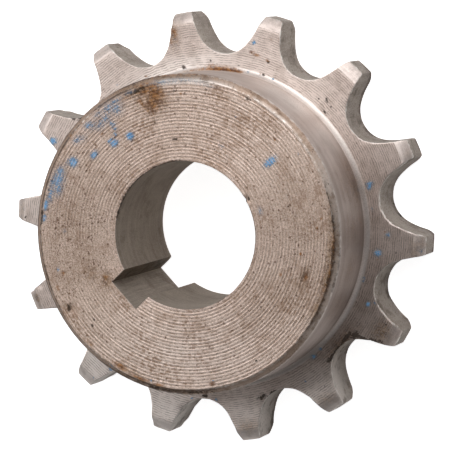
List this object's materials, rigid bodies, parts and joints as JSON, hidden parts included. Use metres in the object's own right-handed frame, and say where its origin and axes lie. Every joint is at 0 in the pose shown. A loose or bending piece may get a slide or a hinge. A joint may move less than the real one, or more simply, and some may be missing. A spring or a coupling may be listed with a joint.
{
  "type": "chain sprocket",
  "caption": "Toothed steel disc that drives a roller chain, with a round hub standing on one side, a plain bore through the middle and a square keyway along it.",
  "frame": {"origin": "on the bore's axis, at the flat back face that the part rests on", "axes": "+Z along the bore from the plate's back face to the end of the hub; +Y through the middle of the keyway"},
  "size_m": [0.0756, 0.076, 0.0241],
  "materials": {
    "steel": "bare turned steel, coarse grooves on the hub end, light rust stains and flecks of blue paint"
  },
  "bodies": {
    "root": {"sprocket": "steel"}
  },
  "joints": []
}
